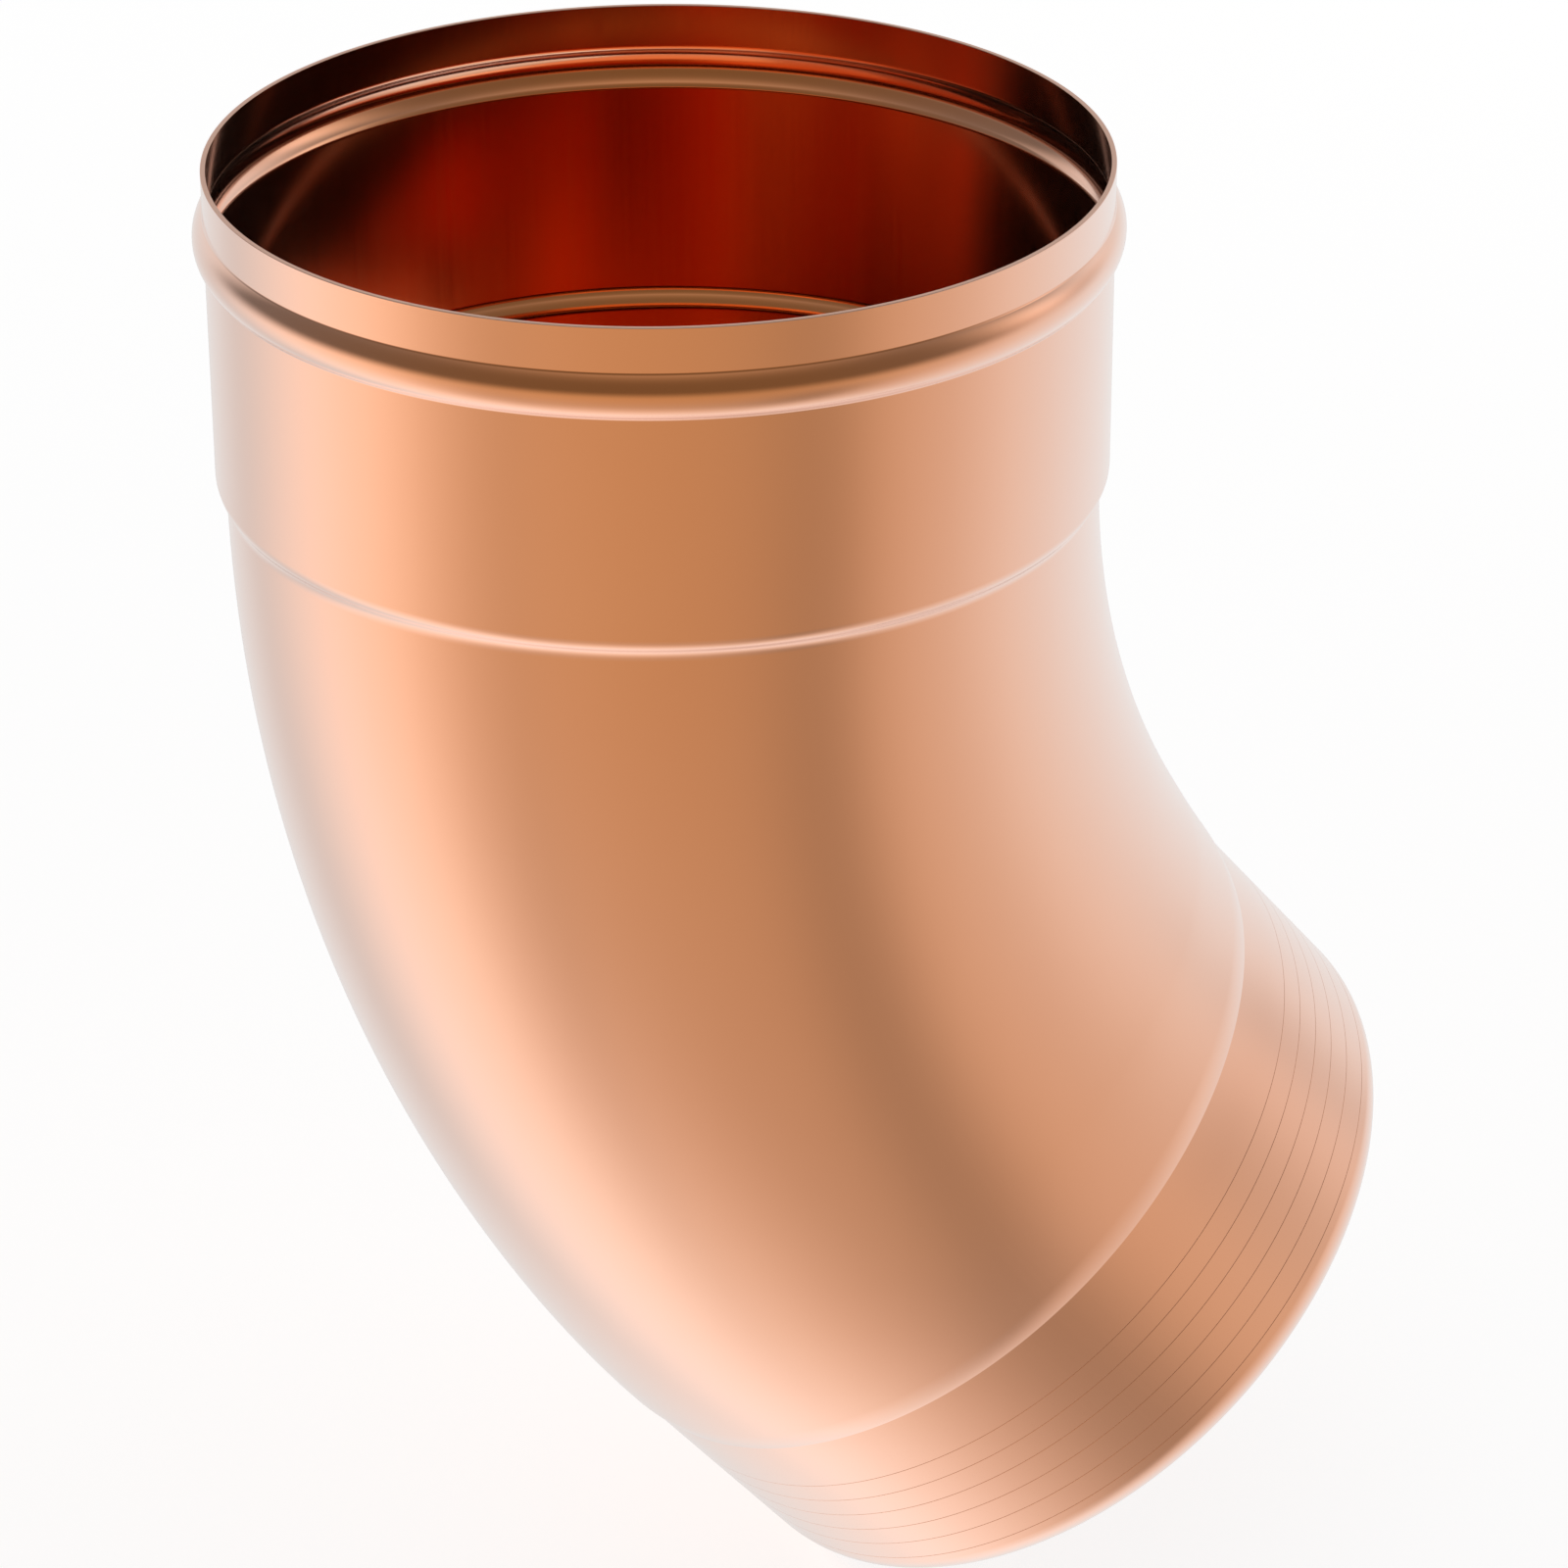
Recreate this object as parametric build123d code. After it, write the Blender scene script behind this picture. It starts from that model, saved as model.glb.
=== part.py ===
from build123d import *
import os
from math import asin, cos, degrees, radians, sin

# Downspout elbow: a forty degree bend of copper rainwater pipe, drawn from one piece of sheet.
# Its socket takes the end of the pipe above, and its spigot enters the pipe below.
#
# The frame: the origin is the centre of the socket's mouth, +Z points up out of the mouth, and
# the spigot leans towards +X. Sizes are millimetres.

# The sheet and the pipe
SHEET = 0.7             # thickness of the copper
SOCKET_BORE = 120.0     # inside diameter of the socket
FIT_GAP = 0.7           # between a socket's wall and the plain pipe pushed into it
BEND_ANGLE = 40.0       # degrees between the socket's axis and the spigot's
BEND_RADIUS = 175.0     # of the pipe's centreline

# The socket, from its mouth downwards
LIP_HEIGHT = 5.8        # plain band between the mouth and the bead
BEAD_WIDTH = 6.3        # height of the rolled bead
BEAD_RISE = 1.5         # how far the bead stands out of the wall
BEAD_FILLET = 0.8       # radius where the wall turns out into the bead
SOCKET_DEPTH = 42.2     # from the mouth to the shoulder that stops the pipe
SHOULDER_LENGTH = 4.0   # run in which the socket narrows to the pipe
SHOULDER_IN_BEND = 1.4  # the part of that run that lies past the start of the bend

# The spigot
SPIGOT_STEP = 0.85      # how far the spigot is drawn in below the pipe's surface
STEP_LENGTH = 3.5       # run in which it is drawn in
SPIGOT_IN_BEND = 6.1    # the spigot's surface starts this far before the end of the bend
SPIGOT_LENGTH = 29.0    # from the end of the bend to the tip
TIP_RADIUS = 0.7        # inside radius of the tip, which is turned in to enter the next pipe
TIP_TURN = 70.0         # degrees through which the tip is turned in

# Each small turn of the sheet is drawn as this many flats, which keeps the model light
FLATS = 2

bore_r = SOCKET_BORE / 2
socket_r = bore_r + SHEET
pipe_r = bore_r - FIT_GAP
spigot_r = pipe_r - SPIGOT_STEP
bend_length = BEND_RADIUS * radians(BEND_ANGLE)
bend_top = -(SOCKET_DEPTH + SHOULDER_LENGTH - SHOULDER_IN_BEND)


def station(travel):
    """The plane square to the centreline, at a travel counted from the start of the bend."""
    turned = min(max(travel, 0.0), bend_length) / BEND_RADIUS
    along = Vector(sin(turned), 0, -cos(turned))
    on_arc = Vector(BEND_RADIUS * (1 - cos(turned)), 0, bend_top - BEND_RADIUS * sin(turned))
    straight = travel - turned * BEND_RADIUS
    return Plane(on_arc + along * straight, x_dir=(0, 1, 0), z_dir=along)


def bent_skin(outer_r, start, end):
    """Both faces of a stretch of the bend with a constant radius, between two travels."""
    pivot = Axis((BEND_RADIUS, 0, bend_top), (0, -1, 0))
    turn = degrees((end - start) / BEND_RADIUS)
    rings = [station(start) * Edge.make_circle(radius) for radius in (outer_r, outer_r - SHEET)]
    return [Shell.revolve(Wire(ring), turn, pivot) for ring in rings]


def drawn_skin(line):
    """Both faces of a stretch where the radius changes, each ruled between rings on the centreline.

    line lists the outer face as travel, radius and slope. The inner face lies one sheet behind
    it, measured square to the slope.
    """
    outer = []
    for travel, radius, slope in line:
        if not outer or travel > outer[-1][0]:
            outer.append((travel, radius))
    inner = [(travel - SHEET * sin(slope), radius - SHEET * cos(slope)) for travel, radius, slope in line]
    rings = [[station(travel) * Wire.make_circle(radius) for travel, radius in face] for face in (outer, inner)]
    return [Shell.make_loft(face_rings, ruled=True) for face_rings in rings]


def slopes(steepest):
    """Slopes from none to the steepest, one at each edge between flats."""
    return [steepest * n / FLATS for n in range(FLATS + 1)]


def socket():
    """The socket with its rolled bead, turned about its axis. The sheet keeps its thickness in the bead."""
    fillet_reach = (BEAD_WIDTH**2 / 4 + BEAD_RISE**2) / (2 * BEAD_RISE)
    bead_r = fillet_reach - BEAD_FILLET
    bead_x = socket_r + BEAD_RISE - bead_r
    bead_z = -(LIP_HEIGHT + BEAD_WIDTH / 2)
    slope = asin(BEAD_WIDTH / 2 / fillet_reach)

    def face_line(inset):
        """One face of the sheet from the mouth to the shoulder, inset from the outer face."""
        wall_x = socket_r - inset
        fillet_r = BEAD_FILLET + inset
        crest_r = bead_r - inset
        fillet = [(wall_x + fillet_r * (1 - cos(turn)), BEAD_WIDTH / 2 - fillet_r * sin(turn))
                  for turn in (0, slope)]
        crest = [(bead_x + crest_r * cos(turn), crest_r * sin(turn)) for turn in slopes(slope)[:-1]]
        upper = fillet + crest[::-1]
        lower = [(x, -z) for x, z in reversed(upper[:-1])]
        return [(wall_x, 0), *[(x, bead_z + z) for x, z in upper + lower], (wall_x, -SOCKET_DEPTH)]

    outline = Polyline(*reversed(face_line(0)), *face_line(SHEET))
    return [Shell.revolve(Plane.XZ * outline, 360, Axis.Z)]


def shoulder():
    """The socket's shoulder: two equal turns, one rounding out of the socket and one into the pipe."""
    drop = socket_r - pipe_r
    arc_r = (SHOULDER_LENGTH**2 + drop**2) / (4 * drop)
    steepest = asin(SHOULDER_LENGTH / 2 / arc_r)
    start = SHOULDER_IN_BEND - SHOULDER_LENGTH
    rounding_out = [(start + arc_r * sin(slope), socket_r - arc_r * (1 - cos(slope)), slope)
                    for slope in slopes(steepest)]
    rounding_in = [(SHOULDER_IN_BEND - arc_r * sin(slope), pipe_r + arc_r * (1 - cos(slope)), slope)
                   for slope in reversed(slopes(steepest)[:-1])]
    return drawn_skin(rounding_out + rounding_in)


def spigot_step():
    """The step down to the spigot: one turn that ends in a crease, which the inside rounds off."""
    arc_r = (STEP_LENGTH**2 + SPIGOT_STEP**2) / (2 * SPIGOT_STEP)
    steepest = asin(STEP_LENGTH / arc_r)
    crease = bend_length - SPIGOT_IN_BEND
    start = crease - STEP_LENGTH
    rounding_out = [(start + arc_r * sin(slope), pipe_r - arc_r * (1 - cos(slope)), slope)
                    for slope in slopes(steepest)]
    at_crease = [(crease, spigot_r, slope) for slope in reversed(slopes(steepest)[:-1])]
    return drawn_skin(rounding_out[:-1] + [(crease, spigot_r, steepest)] + at_crease)


def spigot():
    """The straight end, turned about its own axis, with its turned-in tip."""
    tip_outer_r = TIP_RADIUS + SHEET
    turn = radians(TIP_TURN)
    wall_end = SPIGOT_LENGTH - tip_outer_r * sin(turn)
    tip_x = spigot_r - tip_outer_r

    def tip_line(radius):
        """One face of the tip, from the straight wall to the cut edge."""
        return [(tip_x + radius * cos(angle), -wall_end - radius * sin(angle)) for angle in slopes(turn)]

    outline = Polyline((spigot_r, 0), *tip_line(tip_outer_r),
                       *reversed(tip_line(TIP_RADIUS)), (spigot_r - SHEET, 0))
    upright = Shell.revolve(Plane.XZ * outline, 360, Axis.Z)
    return [Pos(station(bend_length).origin) * Rot(0, -BEND_ANGLE, 0) * upright]


def elbow():
    """The whole elbow: the faces of its stretches, sewn into one closed sheet of copper."""
    step_end = bend_length - SPIGOT_IN_BEND
    skins = (socket()
             + shoulder()
             + bent_skin(pipe_r, SHOULDER_IN_BEND, step_end - STEP_LENGTH)
             + spigot_step()
             + bent_skin(spigot_r, step_end, bend_length)
             + spigot())
    return Solid(Shell([face for skin in skins for face in skin.faces()]))


os.makedirs("parts", exist_ok=True)
export_step(elbow(), "parts/elbow.step")
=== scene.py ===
from math import asin, atan2, radians

import bpy
import numpy as np
from mathutils import Matrix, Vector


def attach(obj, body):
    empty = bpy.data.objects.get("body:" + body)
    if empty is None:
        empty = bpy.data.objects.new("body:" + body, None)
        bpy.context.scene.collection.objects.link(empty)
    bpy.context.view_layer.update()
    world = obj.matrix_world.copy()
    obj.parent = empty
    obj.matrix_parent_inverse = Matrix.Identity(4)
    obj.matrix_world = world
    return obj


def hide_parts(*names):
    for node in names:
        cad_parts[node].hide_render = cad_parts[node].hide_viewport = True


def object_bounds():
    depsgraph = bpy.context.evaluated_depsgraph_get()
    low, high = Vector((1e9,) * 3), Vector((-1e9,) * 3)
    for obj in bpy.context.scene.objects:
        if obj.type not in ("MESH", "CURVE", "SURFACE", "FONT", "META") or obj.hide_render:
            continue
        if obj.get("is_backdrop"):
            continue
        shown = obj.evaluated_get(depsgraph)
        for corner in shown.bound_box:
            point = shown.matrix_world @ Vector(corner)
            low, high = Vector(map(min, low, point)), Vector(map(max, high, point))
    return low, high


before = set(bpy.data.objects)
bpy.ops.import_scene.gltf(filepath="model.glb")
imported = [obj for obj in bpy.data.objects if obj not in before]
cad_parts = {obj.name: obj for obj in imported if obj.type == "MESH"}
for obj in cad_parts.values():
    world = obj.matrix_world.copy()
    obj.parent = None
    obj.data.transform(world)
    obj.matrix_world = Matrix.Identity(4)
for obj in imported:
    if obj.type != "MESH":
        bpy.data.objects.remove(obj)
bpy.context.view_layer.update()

bl_info = {
    "name": "Copper Downspout Elbow",
    "version": (1, 0, 0),
    "blender": (4, 5, 0),
    "location": "3D View > Sidebar > Elbow",
    "description": "Builds a forty degree copper downspout elbow and a plain studio around it",
    "category": "Add Mesh",
}

MM = 0.001


# Settings

def size(name, description, default):
    """A size in metres, shown as a distance."""
    return bpy.props.FloatProperty(
        name=name, description=description, default=default,
        min=0.0, subtype="DISTANCE", unit="LENGTH", precision=6)


def angle(name, description, default):
    """An angle, given in degrees and kept in radians."""
    return bpy.props.FloatProperty(
        name=name, description=description, default=radians(default),
        subtype="ANGLE", unit="ROTATION")


def share(name, description, default):
    """A plain number from none to one."""
    return bpy.props.FloatProperty(
        name=name, description=description, default=default,
        min=0.0, max=1.0, subtype="FACTOR")


def level(name, description, default):
    """How bright a part of the light tent is. A white card in full light is one."""
    return bpy.props.FloatProperty(
        name=name, description=description, default=default, min=-2.0, max=2.0)


def colour(name, description, default):
    """A linear colour."""
    return bpy.props.FloatVectorProperty(
        name=name, description=description, default=default,
        size=3, subtype="COLOR", min=0.0, max=1.0)


class ElbowSizes(bpy.types.PropertyGroup):
    """The sizes of the drawn sheet. Its small forms are finer than the plain solid's."""

    sheet: size("Sheet", "Thickness of the copper sheet", 0.7 * MM)
    socket_bore: size("Socket bore", "Inside diameter of the socket", 120.0 * MM)
    fit_gap: size("Fit gap", "Gap between a socket's wall and the pipe in it", 0.7 * MM)
    bend_radius: size("Bend radius", "Radius of the centreline in the bend", 175.0 * MM)
    bend_angle: angle("Bend angle", "Angle between the socket's axis and the spigot's", 40.0)

    lip_height: size("Lip height", "Plain band between the mouth and the bead", 5.95 * MM)
    bead_width: size("Bead width", "Height of the rolled bead", 6.55 * MM)
    bead_rise: size("Bead rise", "How far the bead stands out of the wall", 1.5 * MM)
    bead_fillet: size("Bead fillet", "Radius where the wall turns out into the bead", 0.45 * MM)
    socket_depth: size("Socket depth", "From the mouth to the shoulder", 42.7 * MM)
    shoulder_length: size(
        "Shoulder length", "Run in which the socket narrows to the pipe", 3.4 * MM)
    shoulder_in_bend: size(
        "Shoulder in bend", "Part of the shoulder past the start of the bend", 1.3 * MM)

    spigot_step: size("Spigot step", "How far the spigot is drawn in below the pipe", 0.85 * MM)
    taper_length: size(
        "Taper length", "Run in which the pipe narrows gently before the step", 18.0 * MM)
    step_length: size(
        "Step length", "Run in which the slope grows from the taper's to the step's", 4.0 * MM)
    step_slope: angle("Step slope", "Slope of the step where it meets the spigot", 13.2)
    crease: size("Crease", "Radius in the corner between the step and the spigot", 0.12 * MM)
    lean_length: size(
        "Lean length", "Run in which the sections turn parallel to the bend's end", 24.5 * MM)
    leaned_length: size(
        "Leaned length", "Run before the bend's end whose sections are parallel to it", 10.5 * MM)
    spigot_in_bend: size(
        "Spigot in bend", "From the start of the spigot to the end of the bend", 5.65 * MM)
    spigot_length: size("Spigot length", "From the end of the bend to the tip", 30.1 * MM)
    tip_radius: size("Tip radius", "Inside radius of the tip, which is turned in", 5.3 * MM)
    tip_turn: angle("Tip turn", "Angle through which the tip is turned in", 45.0)

    ring_start: size(
        "Ring start", "From the end of the bend to the first scored ring", 4.6 * MM)
    ring_pitch: size("Ring pitch", "From one scored ring to the next", 4.0 * MM)
    ring_width: size("Ring width", "Width of a scored ring", 0.12 * MM)
    ring_depth: size("Ring depth", "Depth of a scored ring", 0.03 * MM)
    ring_round: size("Ring rounding", "Radius on a scored ring's edges", 0.015 * MM)
    burr: size("Burr", "Radius to which the cut edges are broken", 0.12 * MM)
    around: bpy.props.IntProperty(
        name="Faces around", description="Faces round the pipe", default=256, min=32, max=320)


class CopperFinish(bpy.types.PropertyGroup):
    """The colour and gloss of the copper."""

    copper: colour("Copper", "Colour of the rolled face, seen straight on", (0.946, 0.338, 0.103))
    # Painted sheen: the face's colour turns towards this pale colour at grazing angles, standing
    # in for the whitening of the reflections there
    pale: colour("Pale", "Colour to which the face turns at a grazing angle", (1.0, 0.98, 0.97))
    grazing: share("Grazing", "How far the face turns pale at a grazing angle", 0.695)
    roughness: share("Roughness", "Roughness of the rolled face", 0.13)
    streak_height: size("Streak height", "Height of the marks of rolling", 0.0012 * MM)

    cut: colour("Cut edge", "Colour of the sheared edge of the sheet", (0.82, 0.52, 0.40))
    cut_roughness: share("Cut roughness", "Roughness of the sheared edge", 0.4)
    shear_marks: bpy.props.FloatProperty(
        name="Shear marks", description="Height of the sheared edge's marks over the streaks'",
        default=6.0, min=0.0)

    # Painted shade: the scored rings are darkened by this colour and made less metallic, standing
    # in for the shade in the grooves rather than for tarnish
    scored: colour(
        "Scored ring", "What the scored rings leave of the face's colour", (0.68, 0.54, 0.48))
    scored_metal: share(
        "Scored metal", "How metallic the scored rings are, which hold a little tarnish", 0.55)


class StudioLight(bpy.types.PropertyGroup):
    """The levels of the light tent, the floor's colour and the lens."""

    wall: level("Wall", "The tent's wall round the camera", 0.60)
    key: level("Key", "The tall soft light at the left, above the wall's level", 0.49)
    gap: level("Gap", "The dim gap at the right of the camera, from the wall's level", -0.18)
    side: level("Side", "The tent's wall at the right, above the wall's level", 0.246)
    backdrop: level(
        "Backdrop", "The tent's wall behind the elbow, above the wall's level", 0.196)
    band: level(
        "Band", "The narrow band of light at the right's horizon, above the wall's level", 0.10)
    table: level("Table", "The white table under the elbow", 1.09)
    ceiling: level("Ceiling", "The tent above the horizon", 0.20)
    top: level("Top", "The soft light overhead, above the ceiling's level", 0.32)
    rim: level("Rim", "The light at the upper right, above the ceiling's level", 0.80)
    warmth: level("Warmth", "How warm the light at the right's horizon is", 0.51)
    deep: level(
        "Deep", "Share of the tent's light left after four reflections inside the pipe", 0.42)

    floor: colour("Floor", "Colour of the floor", (0.45, 0.45, 0.45))
    lift: level(
        "Lift", "How much whiter the camera sees the floor than the tent lights it", 0.81)
    lens: bpy.props.FloatProperty(
        name="Lens", description="Focal length on a sensor 36 mm wide",
        default=131.43, min=10.0, unit="CAMERA")


# The sheet

# Steps along each stretch of the section, from the mouth to the tip
LIP_STEPS = 3
FILLET_STEPS = 5
CREST_STEPS = 16
WALL_STEPS = 10
SHOULDER_STEPS = 10      # in each of its two turns
BEND_STEPS = 38
TAPER_STEPS = 14
STEP_STEPS = 12
CREASE_STEPS = 4
SPIGOT_STEPS = 5         # before the first ring
RING_EDGE_STEPS = 3
RING_BOTTOM_STEPS = 4
LAST_STEPS = 2           # after the last ring
TIP_STEPS = 8
CORNER_STEPS = 4         # in each broken corner of a cut edge

EASE = 4 * MM            # run in which the centreline's curvature comes in, and goes out again
CENTRELINE_STEPS = 40000


def trace(start, pieces):
    """A line made of pieces that meet smoothly, as arrays of points (along, out) and headings.

    A piece is its length, the turn it makes, and its steps. The heading grows evenly along it,
    so with no turn it is straight, and otherwise it is an arc of radius length over turn. The
    chord from the piece's start to a share p of it has the length p times the sinc of half the
    turn made so far, and lies along the heading halfway through that turn.
    """
    points, headings = [np.array([start])], [np.zeros(1)]
    for distance, turn, steps in pieces:
        p = np.arange(1, steps + 1) / steps
        first = headings[-1][-1]
        chord = distance * p * np.sinc(turn * p / (2 * np.pi))
        halfway = first + turn * p / 2
        along_chord = np.stack([np.cos(halfway), np.sin(halfway)], 1)
        points.append(points[-1][-1] + chord[:, None] * along_chord)
        headings.append(first + turn * p)
    return np.concatenate(points), np.concatenate(headings)


def scored_rings(s, room):
    """As many scored rings as the room holds, as pieces for trace, and how far the last one is on.

    A ring's section is a shallow V with rounded edges and a rounded bottom. Its flanks slope by
    the angle whose tangent is depth over half the width.
    """
    flank = atan2(s.ring_depth, s.ring_width / 2)
    side = (s.ring_width / 2 - 2 * s.ring_round * np.sin(flank)) / np.cos(flank)
    edge = (s.ring_round * flank, -flank, RING_EDGE_STEPS)
    bottom = (2 * s.ring_round * flank, 2 * flank, RING_BOTTOM_STEPS)
    ring = [edge, (side, 0, 1), bottom, (side, 0, 1), edge]
    more = int((room - s.ring_width) / s.ring_pitch)
    return ring + [(s.ring_pitch - s.ring_width, 0, 1), *ring] * more, more * s.ring_pitch


def outside_line(s, scored):
    """The outer face of the sheet from the mouth to the tip, as a start and pieces for trace.

    The bead is a crest between two fillets, all three with the same steepest slope. The shoulder
    is two equal turns, one out of the socket's wall and one into the pipe's. The taper's slope
    is the one that leaves the rest of the spigot's step to the step's own turn. Without its
    rings the line is plain there.
    """
    socket_r = s.socket_bore / 2 + s.sheet
    pipe_r = s.socket_bore / 2 - s.fit_gap
    bend_length = s.bend_radius * s.bend_angle

    fillet_reach = (s.bead_width**2 / 4 + s.bead_rise**2) / (2 * s.bead_rise)
    bead_slope = asin(s.bead_width / 2 / fillet_reach)
    crest_r = fillet_reach - s.bead_fillet
    fillet = (s.bead_fillet * bead_slope, bead_slope, FILLET_STEPS)
    crest = (2 * bead_slope * crest_r, -2 * bead_slope, CREST_STEPS)

    drop = socket_r - pipe_r
    shoulder_r = (s.shoulder_length**2 + drop**2) / (4 * drop)
    shoulder_slope = asin(s.shoulder_length / 2 / shoulder_r)

    step_and_taper = s.taper_length + s.step_length
    taper_slope = (2 * s.spigot_step - s.step_length * s.step_slope) / step_and_taper
    taper_start = bend_length - s.spigot_in_bend - s.step_length - s.taper_length

    tip_r = s.tip_radius + s.sheet
    wall_end = s.spigot_length - tip_r * np.sin(s.tip_turn)
    rings, rings_reach = scored_rings(s, wall_end - s.ring_start)
    unscored = [(s.ring_width + rings_reach, 0, 1)]

    start = (-(s.socket_depth + s.shoulder_length - s.shoulder_in_bend) + s.burr, socket_r)
    return start, [
        (s.lip_height - s.burr, 0, LIP_STEPS),
        fillet, crest, fillet,
        (s.socket_depth - s.lip_height - s.bead_width, 0, WALL_STEPS),
        (shoulder_r * shoulder_slope, -shoulder_slope, SHOULDER_STEPS),
        (shoulder_r * shoulder_slope, shoulder_slope, SHOULDER_STEPS),
        (taper_start - s.shoulder_in_bend, 0, BEND_STEPS),
        (s.taper_length, -taper_slope, TAPER_STEPS),
        (s.step_length, taper_slope - s.step_slope, STEP_STEPS),
        (s.crease * s.step_slope, s.step_slope, CREASE_STEPS),
        (s.spigot_in_bend + s.ring_start - s.ring_width / 2, 0, SPIGOT_STEPS),
        *(rings if scored else unscored),
        (wall_end - s.ring_start - rings_reach - s.ring_width / 2, 0, LAST_STEPS),
        (tip_r * s.tip_turn - s.burr, s.burr / tip_r - s.tip_turn, TIP_STEPS),
    ]


def cut_edge(at, forward, outward, s):
    """The sheared edge from the outer face to the inner one: a flat with two broken corners.

    Each corner is a quarter circle of the burr's radius. at is where the outer face ends,
    forward points on past that end, and outward is the outer face's normal.
    """
    bend = np.linspace(0, np.pi / 2, CORNER_STEPS + 1)
    across, ahead = s.burr * (1 - np.cos(bend)), s.burr * np.sin(bend)
    depth = np.concatenate([across, s.sheet - across[::-1]])[:, None]
    reach = np.concatenate([ahead, ahead[::-1]])[:, None]
    up = np.concatenate([np.cos(bend), -np.cos(bend[::-1])])[:, None]
    on = np.concatenate([np.sin(bend), np.sin(bend[::-1])])[:, None]
    points, normals = at - depth * outward + reach * forward, up * outward + on * forward
    return points[1:-1], normals[1:-1]


def sheet_section(s):
    """The closed section of the sheet: outer face, tip's edge, inner face and mouth's edge.

    The inner face lies one sheet behind the plain outer one along its normal, which is square to
    the heading. Gives the points (along, out), their normals, how much each belongs to a cut
    edge, and how deep it lies in a scored ring, as a share of the ring's depth.
    """
    outer, outer_heading = trace(*outside_line(s, scored=True))
    plain, plain_heading = trace(*outside_line(s, scored=False))

    def normal(heading):
        return np.stack([-np.sin(heading), np.cos(heading)], 1)

    outer_normal, plain_normal = normal(outer_heading), normal(plain_heading)
    inner = plain - s.sheet * plain_normal
    past_tip = np.array([np.cos(outer_heading[-1]), np.sin(outer_heading[-1])])
    past_mouth = np.array([-1.0, 0.0])
    tip, tip_normal = cut_edge(outer[-1], past_tip, outer_normal[-1], s)
    mouth, mouth_normal = cut_edge(outer[0], past_mouth, outer_normal[0], s)

    points = np.concatenate([outer, tip, inner[::-1], mouth[::-1]])
    normals = np.concatenate([outer_normal, tip_normal, -plain_normal[::-1], mouth_normal[::-1]])
    counts = [len(stretch) for stretch in (outer, tip, inner, mouth)]
    cut = np.repeat([0.0, 1.0, 0.0, 1.0], counts)
    # How deep each point lies in a scored ring; the copper paints the grooves' shade by it
    depth = (np.interp(outer[:, 0], plain[:, 0], plain[:, 1]) - outer[:, 1]) / s.ring_depth
    scored = np.concatenate([np.clip(depth, 0, 1), np.zeros(len(points) - len(outer))])
    return points, normals, cut, scored


def centreline(along, s):
    """The pipe's centreline at each length along it: its place, its turn and its curvature.

    The curvature is one over the bend's radius in the bend and none in the straight ends, and
    changes evenly between them. The turn is the integral of the curvature, and the place is the
    integral of the unit vector (sin turn, -cos turn) in the XZ plane.
    """
    bend_length = s.bend_radius * s.bend_angle
    fine = np.linspace(along.min(), along.max(), CENTRELINE_STEPS + 1)
    into = np.clip(fine / EASE + 0.5, 0, 1)
    out = np.clip((fine - bend_length) / EASE + 0.5, 0, 1)
    curvature = (into - out) / s.bend_radius

    def integral(rate):
        return np.concatenate([[0.0], np.cumsum((rate[1:] + rate[:-1]) / 2 * np.diff(fine))])

    turn = integral(curvature)
    x, z = integral(np.sin(turn)), -integral(np.cos(turn))
    return [np.interp(along, fine, values) for values in (x, z, turn, curvature)]


def leaned(along, round_pipe, s):
    """How far each point moves along the pipe, to set the step square to the spigot.

    Let left be the length of the bend still ahead of a point, and side its share of the way to
    the bend's pivot. A section becomes parallel to the bend's end when its points move back by
    left times side over one minus side. A smooth step brings this in along the pipe. Gives the
    move, its slope along the pipe and its slope round the pipe.
    """
    end = s.bend_radius * s.bend_angle
    left = np.clip(end - along, 0, None)
    share_in = np.clip((along - end + s.leaned_length) / s.lean_length + 1, 0, 1)
    window = share_in**2 * (3 - 2 * share_in)
    window_slope = 6 * share_in * (1 - share_in) / s.lean_length
    pipe_share = (s.socket_bore / 2 - s.fit_gap) / s.bend_radius
    side = pipe_share * np.cos(round_pipe)
    back = side / (1 - side)
    back_slope = -pipe_share * np.sin(round_pipe) / (1 - side)**2
    move = -left * window * back
    move_along = ((left > 0) * window - left * window_slope) * back
    return move, move_along, -left * window * back_slope


def carried_round(points, normals, s):
    """The section carried along the centreline and round it, as grids of points and normals.

    A point is the centreline's place, at the point's length along after its lean, plus its
    distance out times the unit vector at its angle round the pipe, which is counted from the
    pivot's side. On the inside of the bend lengths shrink by one minus curvature times
    distance. The normal is square to the grid's two directions: its part out is the section's
    times that shrinking and the lean's growth along the pipe, its part ahead is the section's,
    and its part round the pipe takes out what the lean adds there. The third grid is the
    straight pipe's, before it is bent.
    """
    along, out = points[:, :1], points[:, 1:]
    ahead_part, out_part = normals[:, :1], normals[:, 1:]
    round_pipe = np.linspace(0, 2 * np.pi, s.around, endpoint=False)[None, :]
    cosine, sine = np.cos(round_pipe), np.sin(round_pipe)
    lean, lean_along, lean_round = leaned(along, round_pipe, s)
    x, z, turn, curvature = centreline(along + lean, s)

    flat = np.zeros_like(x)
    to_side = np.stack([np.cos(turn) * cosine, flat + sine, np.sin(turn) * cosine], -1)
    to_round = np.stack([-np.cos(turn) * sine, flat + cosine, -np.sin(turn) * sine], -1)
    ahead = np.stack([np.sin(turn), flat, -np.cos(turn)], -1)

    grid = np.stack([x, flat, z], -1) + out[..., None] * to_side
    shrink = 1 - curvature * out * cosine
    normal = ((out_part * shrink * (1 + lean_along))[..., None] * to_side
              + (ahead_part + flat)[..., None] * ahead
              - (ahead_part * shrink * lean_round / out)[..., None] * to_round)
    normal /= np.linalg.norm(normal, axis=-1, keepdims=True)
    unbent = np.stack([out * cosine, out * sine, along + flat], -1)
    return grid, normal, unbent


# Meshes

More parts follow.
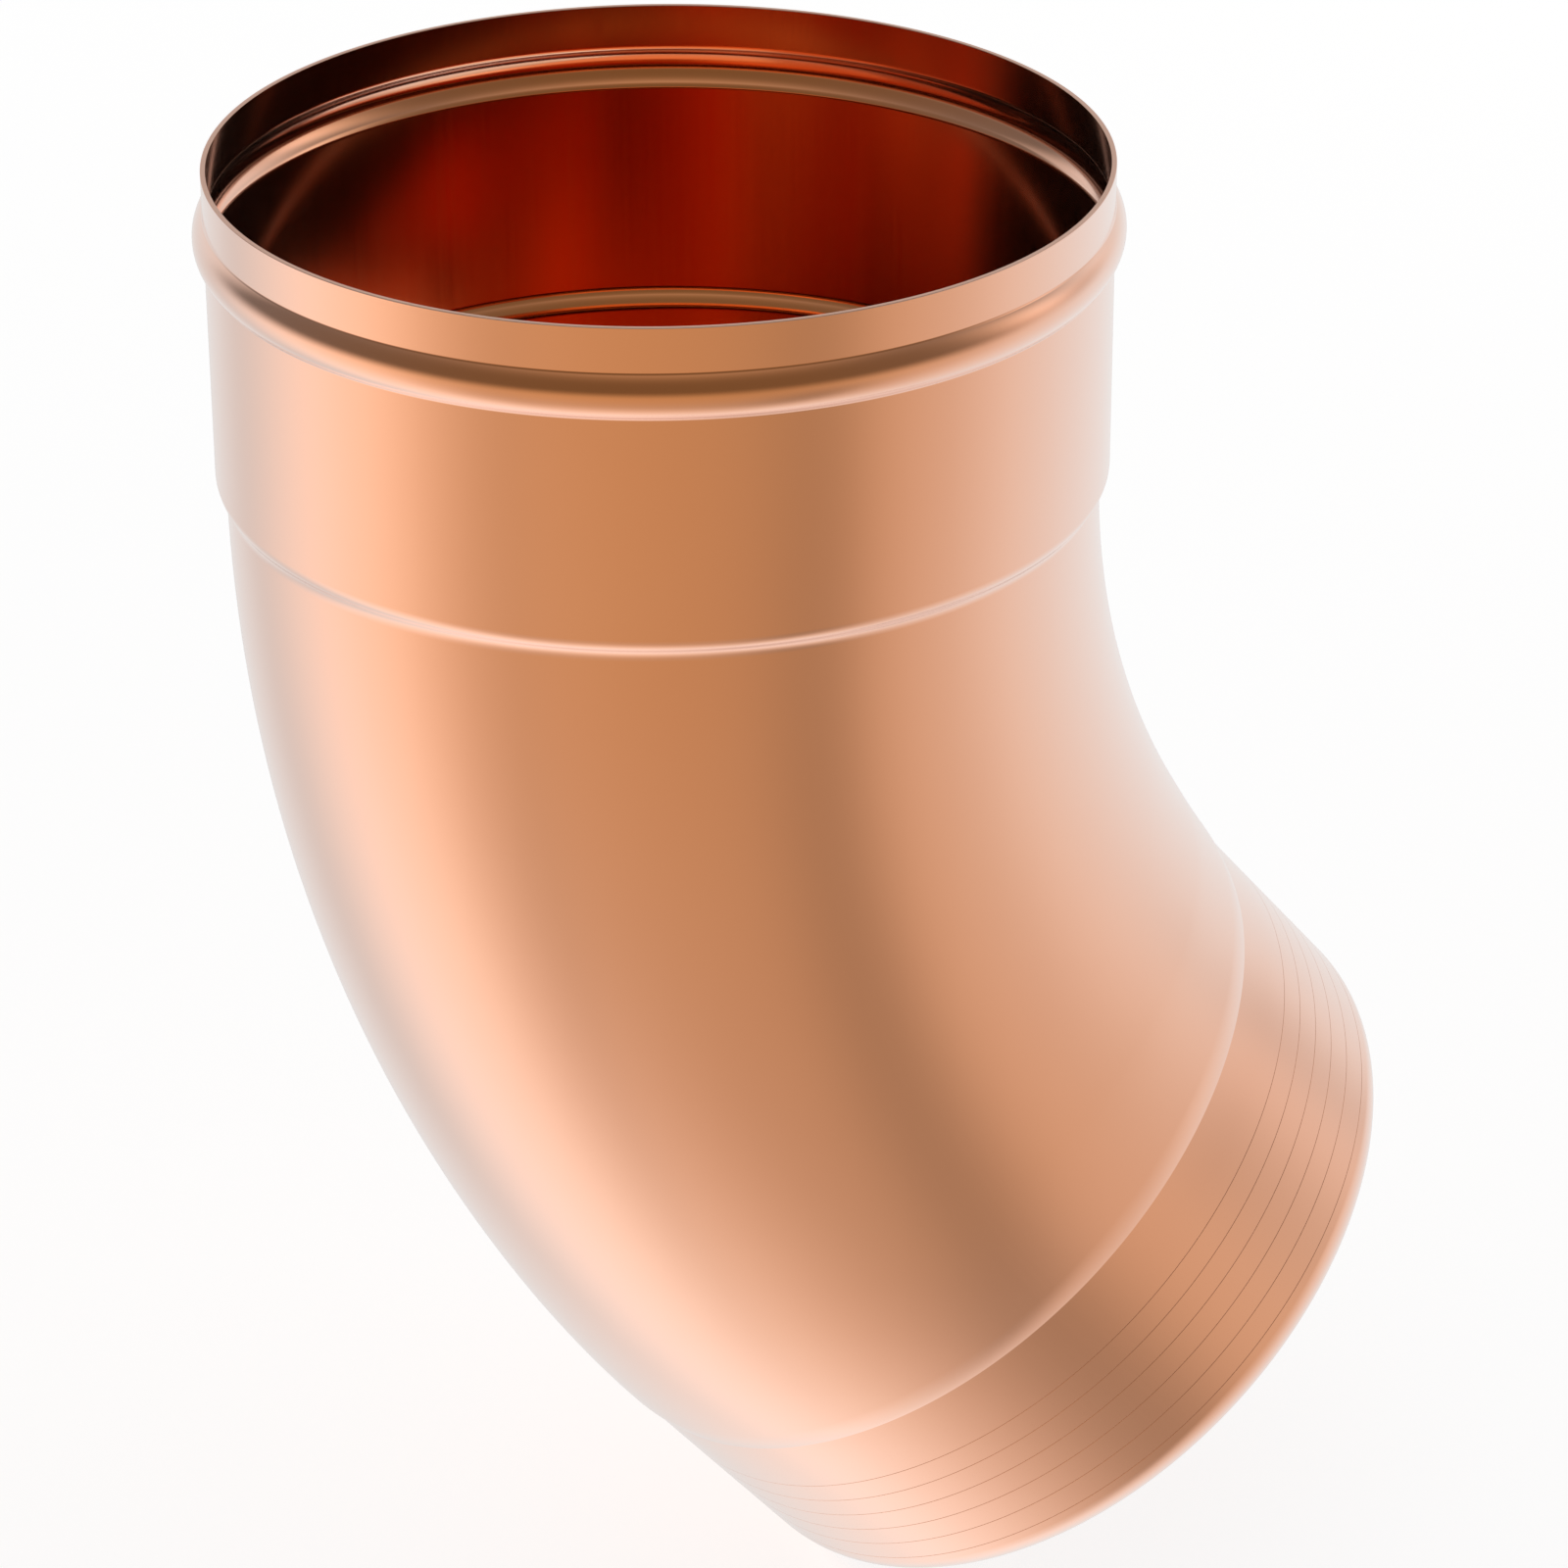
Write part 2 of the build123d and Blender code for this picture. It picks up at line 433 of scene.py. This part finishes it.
def ring_mesh(name, grid, closed):
    """A mesh from a grid of points that closes round its columns, and its rows too if closed."""
    rows, columns = grid.shape[:2]
    index = np.arange(rows * columns).reshape(rows, columns)
    below = np.roll(index, -1, axis=0) if closed else index[1:]
    here = index if closed else index[:-1]
    corners = [here, below, np.roll(below, -1, axis=1), np.roll(here, -1, axis=1)]
    faces = np.stack(corners, -1).reshape(-1, 4)
    mesh = bpy.data.meshes.new(name)
    mesh.vertices.add(rows * columns)
    mesh.vertices.foreach_set("co", grid.astype(np.float32).ravel())
    mesh.loops.add(faces.size)
    mesh.loops.foreach_set("vertex_index", faces.astype(np.int32).ravel())
    mesh.polygons.add(len(faces))
    mesh.polygons.foreach_set("loop_start", np.arange(0, faces.size, 4, dtype=np.int32))
    mesh.polygons.foreach_set("use_smooth", np.ones(len(faces), bool))
    mesh.update(calc_edges=True)
    mesh.validate()
    return mesh


def put_attribute(mesh, name, kind, values):
    """Stores one value a vertex, which the materials read by name."""
    key = {"FLOAT": "value", "FLOAT_VECTOR": "vector", "FLOAT_COLOR": "color"}[kind]
    attribute = mesh.attributes.new(name, kind, "POINT")
    attribute.data.foreach_set(key, values.astype(np.float32).ravel())


def unwrap(mesh, shape, lengths):
    """A UV map that lays the closed section out flat.

    Across is the column over the number of columns, and up is the length so far along the
    section over its whole length.
    """
    rows, columns = shape
    up = np.concatenate([[0.0], np.cumsum(lengths)]) / lengths.sum()
    row, column = np.meshgrid(np.arange(rows), np.arange(columns), indexing="ij")
    corners = [(row, column), (row + 1, column), (row + 1, column + 1), (row, column + 1)]
    uv = np.stack([np.stack([c / columns, up[r]], -1) for r, c in corners], 2)
    layer = mesh.uv_layers.new(name="Sheet")
    layer.data.foreach_set("uv", uv.astype(np.float32).ravel())


# Materials

NOISE_RANGE = (0.3, 0.7)             # what a noise mostly stays in
STREAK_SCALE = 1400.0
STREAK_SHRINK = 0.02                 # along the pipe, so a streak is fifty times its width
PATCH_SCALE = 22.0
TONE_WANDER = (0.006, 0.02, 0.035)   # shares by which red, green and blue wander in patches
ROUGHNESS_WANDER = 0.015             # either way, in streaks
GLANCING_RANGE = (-0.08, 0.92)       # of the facing, over which the face's colour turns pale: a painted sheen
MIX_COLOURS, MIX_COLOUR = (6, 7), 2  # sockets of a Mix node, whose names repeat for each type


def group_socket(tree, name, direction, kind="NodeSocketFloat", default=None, high=None):
    """A named input or output of a node group. One with a default goes from none to high."""
    made = tree.interface.new_socket(name=name, in_out=direction, socket_type=kind)
    if default is not None:
        made.default_value, made.min_value, made.max_value = default, 0.0, high


def drawn_sheet_group():
    """Fine marks of rolling: streaks along the pipe, slow patches of tone, and an even grain."""
    tree = bpy.data.node_groups.new("Drawn sheet", "ShaderNodeTree")
    group_socket(tree, "Vector", "INPUT", kind="NodeSocketVector")
    group_socket(tree, "Streak Scale", "INPUT", default=STREAK_SCALE, high=1e5)
    group_socket(tree, "Patch Scale", "INPUT", default=PATCH_SCALE, high=1e4)
    for name in ("Streaks", "Patches", "Grain"):
        group_socket(tree, name, "OUTPUT")
    nodes, links = tree.nodes, tree.links
    inside, outside = nodes.new("NodeGroupInput"), nodes.new("NodeGroupOutput")
    stretch = nodes.new("ShaderNodeVectorMath")
    stretch.operation = "MULTIPLY"
    stretch.inputs[1].default_value = (1.0, 1.0, STREAK_SHRINK)
    links.new(inside.outputs["Vector"], stretch.inputs[0])
    for label, source, scale, detail in (
            ("Streaks", stretch.outputs["Vector"], "Streak Scale", 3.0),
            ("Patches", inside.outputs["Vector"], "Patch Scale", 4.0),
            ("Grain", inside.outputs["Vector"], "Streak Scale", 2.0)):
        noise = nodes.new("ShaderNodeTexNoise")
        noise.label = label
        noise.inputs["Detail"].default_value = detail
        links.new(source, noise.inputs["Vector"])
        links.new(inside.outputs[scale], noise.inputs["Scale"])
        links.new(noise.outputs["Fac"], outside.inputs[label])
    return tree


def copper_material(f):
    """Bright rolled copper whose colour is painted pale at grazing angles, a painted sheen.

    Its sheared edges are duller and rougher, and its scored rings are painted darker and less
    metallic: painted shade that stands in for the shade in the grooves. The attributes cut_edge
    and scored say where these are, and unbent carries the marks of rolling.
    """
    material = bpy.data.materials.new("Rolled copper")
    material.use_nodes = True
    nodes, links = material.node_tree.nodes, material.node_tree.links
    shader = nodes["Principled BSDF"]

    def attribute(name):
        node = nodes.new("ShaderNodeAttribute")
        node.attribute_name = name
        return node.outputs

    def mapped(source, low, high, span=NOISE_RANGE, smooth=False):
        node = nodes.new("ShaderNodeMapRange")
        node.interpolation_type = "SMOOTHSTEP" if smooth else "LINEAR"
        for name, value in zip(("From Min", "From Max", "To Min", "To Max"), (*span, low, high)):
            node.inputs[name].default_value = value
        links.new(source, node.inputs["Value"])
        return node.outputs["Result"]

    def mixed_colour(factor, first, second, blend="MIX"):
        node = nodes.new("ShaderNodeMix")
        node.data_type = "RGBA"
        node.blend_type = blend
        links.new(factor, node.inputs["Factor"])
        for number, value in zip(MIX_COLOURS, (first, second)):
            if isinstance(value, bpy.types.NodeSocket):
                links.new(value, node.inputs[number])
            else:
                node.inputs[number].default_value = (*value, 1.0)
        return node.outputs[MIX_COLOUR]

    drawn = nodes.new("ShaderNodeGroup")
    drawn.node_tree = drawn_sheet_group()
    links.new(attribute("unbent")["Vector"], drawn.inputs["Vector"])
    cut, scored = attribute("cut_edge")["Fac"], attribute("scored")["Fac"]

    darker, lighter = ([channel * (1 + sign * wander)
                        for channel, wander in zip(f.copper, TONE_WANDER)] for sign in (-1, 1))
    toned = mixed_colour(mapped(drawn.outputs["Patches"], 0.0, 1.0), darker, lighter)
    # Painted sheen: by the Layer Weight's facing, the face's colour turns pale at grazing angles,
    # standing in for the whitening of the reflections there
    facing = nodes.new("ShaderNodeLayerWeight")
    facing.inputs["Blend"].default_value = 0.5
    grazing_sheen = mapped(facing.outputs["Facing"], 0.0, f.grazing, GLANCING_RANGE, smooth=True)
    face = mixed_colour(grazing_sheen, toned, f.pale)
    # Painted shade: the scored rings multiply the face's colour darker, standing in for the shade
    # in the grooves
    ring_shaded = mixed_colour(scored, face, f.scored, blend="MULTIPLY")
    links.new(mixed_colour(cut, ring_shaded, f.cut), shader.inputs["Base Color"])

    # Painted shade too: the scored rings are less metallic, which darkens them
    metallic = mapped(scored, 1.0, f.scored_metal, (0.0, 1.0))
    links.new(metallic, shader.inputs["Metallic"])

    rough = nodes.new("ShaderNodeMix")
    streaked = mapped(drawn.outputs["Streaks"],
                      f.roughness - ROUGHNESS_WANDER, f.roughness + ROUGHNESS_WANDER)
    links.new(cut, rough.inputs["Factor"])
    links.new(streaked, rough.inputs["A"])
    rough.inputs["B"].default_value = f.cut_roughness
    links.new(rough.outputs["Result"], shader.inputs["Roughness"])

    height = nodes.new("ShaderNodeMix")
    links.new(cut, height.inputs["Factor"])
    links.new(drawn.outputs["Streaks"], height.inputs["A"])
    links.new(mapped(drawn.outputs["Grain"], 0.0, f.shear_marks, (0.0, 1.0)), height.inputs["B"])
    bump = nodes.new("ShaderNodeBump")
    bump.inputs["Strength"].default_value = 1.0
    bump.inputs["Distance"].default_value = f.streak_height
    links.new(height.outputs["Result"], bump.inputs["Height"])
    links.new(bump.outputs["Normal"], shader.inputs["Normal"])
    return material


# The studio

# The camera's place in metres, and its turns in degrees
CAMERA_PLACE = (-0.226219, -0.678867, 0.268085)
CAMERA_HEADING = -19.735     # round the vertical
CAMERA_TILT = 63.176         # up from straight down
CAMERA_ROLL = -0.195         # round the line of sight
SENSOR_WIDTH = 36.0          # mm
NEAREST, FARTHEST = 0.05, 20.0

FLOOR_RINGS = (0.001, 0.1, 0.3, 1.0, 2.4)
FLOOR_AROUND = 64
FLOOR_GAP = 0.05 * MM        # between the floor and the elbow's lowest point
ROOM_LEVEL = 0.5             # of the world, as a light

TENT_RADIUS = 2.6
TENT_AROUND, TENT_UP = 180, 90
TENT_POLE = 89.9             # elevation of the tent's last ring
DIMMED_DEPTHS = (2.0, 4.0)   # reflections, over which the light inside the pipe falls off

# Where the tent's lights stand, in degrees. Azimuths go round from the camera to the right, and
# elevations up from the horizon. Three numbers are a panel's middle, half its width and half of
# its soft edge, and two are a glow's middle and width.
FRONT_AZIMUTHS = (0, 40, 20)
KEY_AZIMUTHS = (-85, 28, 23)
GAP_AZIMUTHS, GAP_ELEVATIONS = (43, 15), (-38, 21)
SIDE_AZIMUTHS = (180, 116, 38)
BACKDROP_AZIMUTHS = (-180, 52, 35)
SHADE_AZIMUTHS, SHADE_ELEVATIONS = (78, 15), (-10, 19)
BAND_AZIMUTHS, BAND_ELEVATIONS = (105, 16), (-2, 7)
TABLE_DIRECTION, TABLE_REACH = (-69, -82), (0, 22, 24.5)
TOP_ELEVATIONS = (90, 28)
BEHIND_AZIMUTHS, BEHIND_ELEVATIONS = (180, 54, 12), (0, 36, 22)
RIM_AZIMUTHS, RIM_ELEVATIONS = (106, 19), (17, 20, 20)
ABOVE_ELEVATIONS = (90, 91, 14)
WARM_AZIMUTHS, WARM_ELEVATIONS = (122, 32), (7, 12)

FRONT_SLANT = 0.002          # by which the wall round the camera dims with each degree
SHADE_LEVEL = 0.06           # of the faint shade between the gap and the side
WARM_LOSS = (0.0, 0.2, 0.33)  # what full warmth takes out of red, green and blue


def panel(degrees, middle, half_width, softness):
    """One inside a soft light and none outside it, by a smooth step across each edge."""
    t = np.clip((half_width + softness - np.abs(degrees - middle)) / (2 * softness), 0, 1)
    return t * t * (3 - 2 * t)


def glow(degrees, middle, width):
    """A bell that is one in the middle and falls to about a third one width away."""
    return np.exp(-((degrees - middle) / width) ** 2)


def from_direction(azimuth, elevation, there_azimuth, there_elevation):
    """The angle in degrees between two directions, by the cosine rule on the sphere."""
    up, there_up = np.radians(elevation), np.radians(there_elevation)
    cosine = (np.cos(up) * np.cos(there_up) * np.cos(np.radians(azimuth - there_azimuth))
              + np.sin(up) * np.sin(there_up))
    return np.degrees(np.arccos(np.clip(cosine, -1, 1)))


def tent_glow(azimuth, elevation, light):
    """The colour of the tent in each direction, in degrees from the camera and the horizon.

    The wall goes right round below the horizon. A tall light stands at its left, a dim gap at
    the right of the camera, and a paler side beyond that, and the white table lies under them
    all. Above the horizon is a dim ceiling with a light overhead, the backdrop behind the
    elbow, and a light at the right. The light at the right's horizon is warm.
    """
    wall = light.wall - FRONT_SLANT * azimuth * panel(azimuth, *FRONT_AZIMUTHS)
    wall += light.key * panel(azimuth, *KEY_AZIMUTHS)
    wall += light.gap * glow(azimuth, *GAP_AZIMUTHS) * glow(elevation, *GAP_ELEVATIONS)
    wall += light.side * panel(azimuth, *SIDE_AZIMUTHS)
    wall += light.backdrop * panel(azimuth, *BACKDROP_AZIMUTHS)
    wall -= SHADE_LEVEL * glow(azimuth, *SHADE_AZIMUTHS) * glow(elevation, *SHADE_ELEVATIONS)
    wall += light.band * glow(azimuth, *BAND_AZIMUTHS) * glow(elevation, *BAND_ELEVATIONS)
    from_table = from_direction(azimuth, elevation, *TABLE_DIRECTION)
    wall += (light.table - wall) * panel(from_table, *TABLE_REACH)

    ceiling = light.ceiling + light.top * glow(elevation, *TOP_ELEVATIONS)
    behind = panel(np.abs(azimuth), *BEHIND_AZIMUTHS)
    ceiling += ((light.wall + light.backdrop - ceiling) * behind
                * panel(elevation, *BEHIND_ELEVATIONS))
    ceiling += light.rim * glow(azimuth, *RIM_AZIMUTHS) * panel(elevation, *RIM_ELEVATIONS)

    brightness = wall + (ceiling - wall) * panel(elevation, *ABOVE_ELEVATIONS)
    warmth = light.warmth * glow(azimuth, *WARM_AZIMUTHS) * glow(elevation, *WARM_ELEVATIONS)
    return brightness[..., None] * (1 - warmth[..., None] * np.array(WARM_LOSS))


# Operators

class MakeElbow(bpy.types.Operator):
    """Make the elbow's drawn copper sheet and put it in place of the plain solid"""

    bl_idname = "mesh.copper_elbow"
    bl_label = "Make Elbow"
    bl_options = {"REGISTER", "UNDO"}

    def execute(self, context):
        s = context.scene.elbow_sizes
        points, normals, cut, scored = sheet_section(s)
        grid, normal, unbent = carried_round(points, normals, s)
        mesh = ring_mesh("elbow_sheet", grid, closed=True)
        put_attribute(mesh, "cut_edge", "FLOAT", np.repeat(cut, s.around))
        put_attribute(mesh, "scored", "FLOAT", np.repeat(scored, s.around))
        put_attribute(mesh, "unbent", "FLOAT_VECTOR", unbent)
        lengths = np.linalg.norm(np.roll(points, -1, axis=0) - points, axis=1)
        unwrap(mesh, grid.shape[:2], lengths)
        mesh.normals_split_custom_set_from_vertices(normal.reshape(-1, 3).tolist())
        mesh.materials.append(copper_material(context.scene.copper_finish))
        piece = bpy.data.objects.new("elbow_sheet", mesh)
        context.scene.collection.objects.link(piece)
        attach(piece, "root")
        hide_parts("elbow")
        return {"FINISHED"}


class MakeStudio(bpy.types.Operator):
    """Make the pale floor, the light tent round the elbow, and the camera"""

    bl_idname = "scene.elbow_studio"
    bl_label = "Make Studio"
    bl_options = {"REGISTER", "UNDO"}

    def execute(self, context):
        light = context.scene.studio_light
        self.background(context.scene)
        self.floor(context.scene, light)
        self.tent(context.scene, light)
        self.camera(context.scene, light)
        context.scene.view_settings.view_transform = "Standard"
        return {"FINISHED"}

    def background(self, scene):
        """White where the camera, a reflection or a clear piece sees it, and dim as a light."""
        world = bpy.data.worlds.new("Studio")
        world.use_nodes = True
        scene.world = world
        nodes, links = world.node_tree.nodes, world.node_tree.links
        path = nodes.new("ShaderNodeLightPath")
        seen = path.outputs["Is Camera Ray"]
        for name in ("Is Glossy Ray", "Is Transmission Ray"):
            either = nodes.new("ShaderNodeMath")
            either.operation = "MAXIMUM"
            links.new(seen, either.inputs[0])
            links.new(path.outputs[name], either.inputs[1])
            seen = either.outputs["Value"]
        strength = nodes.new("ShaderNodeMapRange")
        strength.inputs["To Min"].default_value = ROOM_LEVEL
        links.new(seen, strength.inputs["Value"])
        background = nodes["Background"]
        background.inputs["Color"].default_value = (1.0, 1.0, 1.0, 1.0)
        links.new(strength.outputs["Result"], background.inputs["Strength"])

    def floor(self, scene, light):
        """A round floor just under the elbow: rings of points about it, at growing reaches.

        The camera sees it lifted towards white, and no reflection sees it.
        """
        low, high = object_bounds()
        centre = (low[0] + high[0]) / 2
        reach = np.array(FLOOR_RINGS)[:, None]
        turn = np.linspace(0, 2 * np.pi, FLOOR_AROUND, endpoint=False)[None, :]
        height = np.full((reach.size, turn.size), low[2] - FLOOR_GAP)
        grid = np.stack([centre + reach * np.cos(turn), reach * np.sin(turn), height], -1)
        mesh = ring_mesh("floor", grid, closed=False)
        material = bpy.data.materials.new("Pale floor")
        material.use_nodes = True
        nodes, links = material.node_tree.nodes, material.node_tree.links
        shader = nodes["Principled BSDF"]
        shader.inputs["Base Color"].default_value = (*light.floor, 1.0)
        shader.inputs["Roughness"].default_value = 1.0
        shader.inputs["Specular IOR Level"].default_value = 0.0
        shader.inputs["Emission Color"].default_value = (1.0, 1.0, 1.0, 1.0)
        path = nodes.new("ShaderNodeLightPath")
        lift = nodes.new("ShaderNodeMapRange")
        lift.inputs["To Max"].default_value = light.lift
        links.new(path.outputs["Is Camera Ray"], lift.inputs["Value"])
        links.new(lift.outputs["Result"], shader.inputs["Emission Strength"])
        mesh.materials.append(material)
        floor = bpy.data.objects.new("floor", mesh)
        scene.collection.objects.link(floor)
        floor.visible_glossy = False
        floor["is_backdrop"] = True

    def tent(self, scene, light):
        """The light tent: a sphere about the elbow, by azimuth and elevation, that glows.

        The camera doesn't see it. It dims for light that has been reflected several times.
        """
        azimuth = np.linspace(-180, 180, TENT_AROUND, endpoint=False)[None, :]
        elevation = np.linspace(-TENT_POLE, TENT_POLE, TENT_UP)[:, None]
        azimuth, elevation = np.broadcast_arrays(azimuth, elevation)
        heading, up = np.radians(CAMERA_HEADING - 90 + azimuth), np.radians(elevation)
        grid = TENT_RADIUS * np.stack(
            [np.cos(up) * np.cos(heading), np.cos(up) * np.sin(heading), np.sin(up)], -1)
        mesh = ring_mesh("light_tent", grid, closed=False)
        colours = tent_glow(azimuth, elevation, light)
        opaque = np.ones((*azimuth.shape, 1))
        put_attribute(mesh, "glow", "FLOAT_COLOR", np.concatenate([colours, opaque], -1))
        material = bpy.data.materials.new("Light tent")
        material.use_nodes = True
        nodes, links = material.node_tree.nodes, material.node_tree.links
        painted = nodes.new("ShaderNodeAttribute")
        painted.attribute_name = "glow"
        path = nodes.new("ShaderNodeLightPath")
        dimming = nodes.new("ShaderNodeMapRange")
        for name, value in zip(("From Min", "From Max", "To Min", "To Max"),
                               (*DIMMED_DEPTHS, 1.0, light.deep)):
            dimming.inputs[name].default_value = value
        links.new(path.outputs["Glossy Depth"], dimming.inputs["Value"])
        emission = nodes.new("ShaderNodeEmission")
        links.new(painted.outputs["Color"], emission.inputs["Color"])
        links.new(dimming.outputs["Result"], emission.inputs["Strength"])
        links.new(emission.outputs["Emission"], nodes["Material Output"].inputs["Surface"])
        material.cycles.emission_sampling = "NONE"
        mesh.materials.append(material)
        tent = bpy.data.objects.new("light_tent", mesh)
        scene.collection.objects.link(tent)
        tent.visible_camera = False
        tent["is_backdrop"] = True

    def camera(self, scene, light):
        """The camera at the photograph's place: above the mouth, looking down at the bend."""
        data = bpy.data.cameras.new("camera")
        data.sensor_width = SENSOR_WIDTH
        data.sensor_fit = "HORIZONTAL"
        data.lens = light.lens
        data.clip_start, data.clip_end = NEAREST, FARTHEST
        camera = bpy.data.objects.new("camera", data)
        scene.collection.objects.link(camera)
        aim = (Matrix.Rotation(radians(CAMERA_HEADING), 4, "Z")
               @ Matrix.Rotation(radians(CAMERA_TILT), 4, "X")
               @ Matrix.Rotation(radians(CAMERA_ROLL), 4, "Z"))
        camera.matrix_world = Matrix.Translation(CAMERA_PLACE) @ aim
        scene.camera = camera


class ElbowPanel(bpy.types.Panel):
    """Lists the settings of the elbow, the copper and the studio, with the buttons that make the
    elbow and the studio
    """

    bl_idname = "VIEW3D_PT_copper_elbow"
    bl_label = "Copper Elbow"
    bl_space_type = "VIEW_3D"
    bl_region_type = "UI"
    bl_category = "Elbow"

    def draw(self, context):
        for settings, operator in (("elbow_sizes", MakeElbow), ("copper_finish", None),
                                   ("studio_light", MakeStudio)):
            box = self.layout.box()
            for name in SETTINGS[settings].__annotations__:
                box.prop(getattr(context.scene, settings), name)
            if operator:
                box.operator(operator.bl_idname)


CLASSES = (ElbowSizes, CopperFinish, StudioLight, MakeElbow, MakeStudio, ElbowPanel)
SETTINGS = {
    "elbow_sizes": ElbowSizes, "copper_finish": CopperFinish, "studio_light": StudioLight}


def register():
    for cls in CLASSES:
        bpy.utils.register_class(cls)
    for name, group in SETTINGS.items():
        setattr(bpy.types.Scene, name, bpy.props.PointerProperty(type=group))


def unregister():
    for name in SETTINGS:
        delattr(bpy.types.Scene, name)
    for cls in reversed(CLASSES):
        bpy.utils.unregister_class(cls)


def main():
    """Registers the classes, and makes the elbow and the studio."""
    register()
    bpy.ops.mesh.copper_elbow()
    bpy.ops.scene.elbow_studio()


if __name__ == "__main__":
    main()
